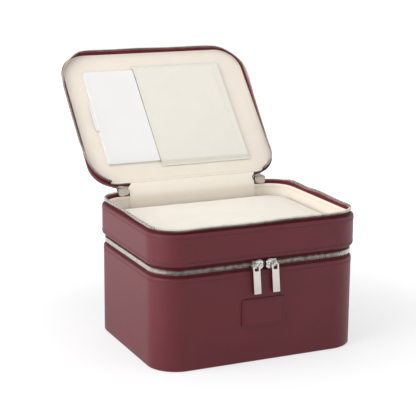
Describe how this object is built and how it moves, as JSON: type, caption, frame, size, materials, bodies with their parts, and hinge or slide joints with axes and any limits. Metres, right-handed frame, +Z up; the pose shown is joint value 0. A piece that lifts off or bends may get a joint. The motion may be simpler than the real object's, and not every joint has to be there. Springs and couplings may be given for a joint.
{
  "type": "leather jewellery case",
  "caption": "Two-tier zipped leather jewellery case with a mirror pocket in its padded lid, a tray band with a lift-out cover and a deep base.",
  "frame": {"origin": "middle of the underside, on the face it stands on", "axes": "+X to the right seen from the front, -Y out of the front, +Z up; lid drawn open"},
  "size_m": [0.2592, 0.3588, 0.3184],
  "materials": {
    "burgundy_leather": "satin",
    "cream_lining": "matte",
    "padding_foam": "matte",
    "stiffening_board": "matte",
    "zip_tape": "matte",
    "zip_metal": "polished",
    "mirror_glass": "polished",
    "mirror_backing": "matte",
    "ribbon": "satin"
  },
  "bodies": {
    "base": {"base_shell": "burgundy_leather", "base_bottom_panel": "burgundy_leather", "base_board": "stiffening_board", "base_lining": "cream_lining", "base_floor_pad": "cream_lining", "base_zip_tape": "zip_tape", "base_zip_teeth": "zip_metal", "base_zip_stops": "zip_metal", "front_patch": "burgundy_leather", "lower_hinge_strap_base": "burgundy_leather"},
    "band": {"band_shell": "burgundy_leather", "band_foam": "padding_foam", "band_board": "stiffening_board", "band_floor": "stiffening_board", "band_lining": "cream_lining", "band_underside": "cream_lining", "band_lower_tape": "zip_tape", "band_lower_teeth": "zip_metal", "band_upper_tape": "zip_tape", "band_upper_teeth": "zip_metal", "band_zip_stops": "zip_metal", "tray_dividers": "cream_lining", "ring_rolls": "cream_lining", "lower_hinge_strap_band": "burgundy_leather", "upper_hinge_strap_band": "burgundy_leather", "inner_hinge_panel": "cream_lining"},
    "lid": {"lid_shell": "burgundy_leather", "lid_foam": "padding_foam", "lid_board": "stiffening_board", "lid_lining": "cream_lining", "lid_zip_tape": "zip_tape", "lid_zip_teeth": "zip_metal", "mirror_pocket": "cream_lining", "upper_hinge_strap_lid": "burgundy_leather"},
    "mirror": {"mirror_glass": "mirror_glass", "mirror_backing": "mirror_backing", "mirror_tab": "ribbon"},
    "cover": {"cover_board": "stiffening_board", "cover_pad": "cream_lining"},
    "lower_slider_left": {"lower_slider_left": "zip_metal"},
    "lower_slider_right": {"lower_slider_right": "zip_metal"},
    "upper_slider_left": {"upper_slider_left": "zip_metal"},
    "upper_slider_right": {"upper_slider_right": "zip_metal"},
    "lower_pull_left": {"lower_pull_left": "zip_metal"},
    "lower_pull_right": {"lower_pull_right": "zip_metal"},
    "upper_pull_left": {"upper_pull_left": "zip_metal"},
    "upper_pull_right": {"upper_pull_right": "zip_metal"}
  },
  "joints": [
    {"name": "tray_hinge", "type": "hinge", "parent": "base", "child": "band", "pos_m": [0, 0.1026, 0.1145], "axis": [1, 0, 0], "range_deg": [-95, 0]},
    {"name": "lid_hinge", "type": "hinge", "parent": "band", "child": "lid", "pos_m": [0, 0.103, 0.1685], "axis": [-1, 0, 0], "range_deg": [-133, 0]},
    {"name": "mirror_slide", "type": "slide", "parent": "lid", "child": "mirror", "axis": [1, 0, 0], "range_m": [-0.016, 0.009]},
    {"name": "cover_lift", "type": "slide", "parent": "band", "child": "cover", "axis": [0, 0, 1], "range_m": [0, 0.06]},
    {"name": "lower_slider_left_run", "type": "slide", "parent": "base", "child": "lower_slider_left", "axis": [-1, 0, 0], "range_m": [0, 0.074]},
    {"name": "lower_slider_right_run", "type": "slide", "parent": "base", "child": "lower_slider_right", "axis": [1, 0, 0], "range_m": [0, 0.074]},
    {"name": "upper_slider_left_run", "type": "hinge", "parent": "band", "child": "upper_slider_left", "pos_m": [-0.093, 0.065, 0.1645], "axis": [0, 0, 1], "range_deg": [0, 88]},
    {"name": "upper_slider_right_run", "type": "hinge", "parent": "band", "child": "upper_slider_right", "pos_m": [0.093, 0.065, 0.1645], "axis": [0, 0, -1], "range_deg": [0, 88]},
    {"name": "lower_pull_left_swing", "type": "hinge", "parent": "lower_slider_left", "child": "lower_pull_left", "pos_m": [-0.0118, -0.1037, 0.1155], "axis": [-1, 0, 0], "range_deg": [0, 150]},
    {"name": "lower_pull_right_swing", "type": "hinge", "parent": "lower_slider_right", "child": "lower_pull_right", "pos_m": [0.0118, -0.1037, 0.1155], "axis": [-1, 0, 0], "range_deg": [0, 150]},
    {"name": "upper_pull_left_swing", "type": "hinge", "parent": "upper_slider_left", "child": "upper_pull_left", "pos_m": [-0.09, 0.1037, 0.1655], "axis": [1, 0, 0], "range_deg": [0, 30]},
    {"name": "upper_pull_right_swing", "type": "hinge", "parent": "upper_slider_right", "child": "upper_pull_right", "pos_m": [0.09, 0.1037, 0.1655], "axis": [1, 0, 0], "range_deg": [0, 30]}
  ]
}
